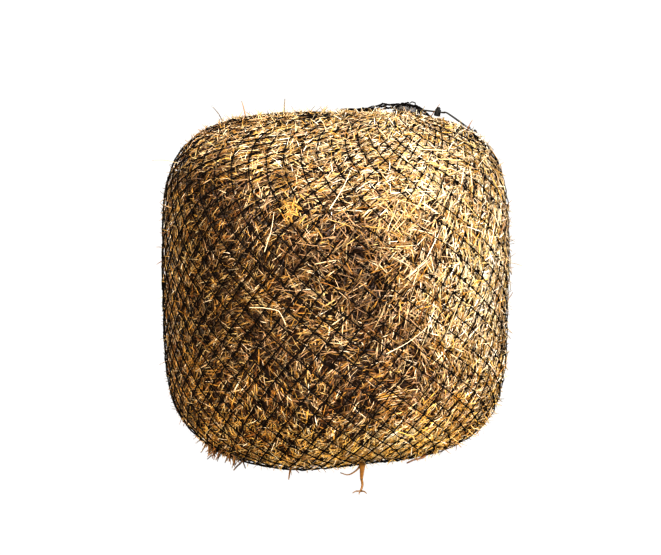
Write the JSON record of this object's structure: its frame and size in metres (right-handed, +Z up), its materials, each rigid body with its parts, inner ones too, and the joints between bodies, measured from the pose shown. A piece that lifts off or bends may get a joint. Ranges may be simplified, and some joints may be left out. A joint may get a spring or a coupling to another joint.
{
  "type": "hay net",
  "caption": "Black knotted hay net closed round a standing round straw bale, gathered on top by a drawcord with a cord lock.",
  "frame": {"origin": "middle of the flat foot, on the ground", "axes": "+Z up the bale's axis; -Y is the front; the gathered mouth is at the back right of the top, towards +X and +Y; the seam runs up the back at +Y"},
  "size_m": [1.1906, 1.1963, 1.1968],
  "materials": {
    "straw": "matte",
    "netting": "matte",
    "drawcord": "satin",
    "cord_lock": "satin",
    "spring": "satin"
  },
  "bodies": {
    "net_and_bale": {"base_closing_cord": "drawcord", "base_closing_knot": "drawcord", "drawcord_tail_back": "drawcord", "drawcord_tail_front": "drawcord", "drawcord_winding": "drawcord", "loose_straw_base_1": "straw", "loose_straw_base_2": "straw", "loose_straw_base_3": "straw", "loose_straw_base_4": "straw", "loose_straw_base_5": "straw", "loose_straw_front_1": "straw", "loose_straw_front_2": "straw", "loose_straw_front_3": "straw", "loose_straw_front_4": "straw", "loose_straw_top_1": "straw", "loose_straw_top_2": "straw", "loose_straw_top_3": "straw", "loose_straw_top_4": "straw", "netting_base": "netting", "netting_ruffle": "netting", "netting_side": "netting", "netting_top": "netting", "seam_knot_high": "netting", "seam_knot_low": "netting", "seam_lacing": "netting", "straw_bale": "straw", "tail_knot_back": "drawcord", "tail_knot_front": "drawcord"},
    "cord_lock": {"cord_lock_housing": "cord_lock", "cord_lock_spring": "spring"},
    "lock_button": {"cord_lock_plunger": "cord_lock"}
  },
  "joints": [
    {"name": "lock_slide", "type": "slide", "parent": "net_and_bale", "child": "cord_lock", "axis": [0.7907, -0.6102, -0.0487], "range_m": [-0.03, 0.014]},
    {"name": "button_press", "type": "slide", "parent": "cord_lock", "child": "lock_button", "axis": [-0.1922, -0.172, -0.9662], "range_m": [0, 0.004], "stiffness_N_per_m": 800, "deforming": ["cord_lock_spring"]}
  ]
}
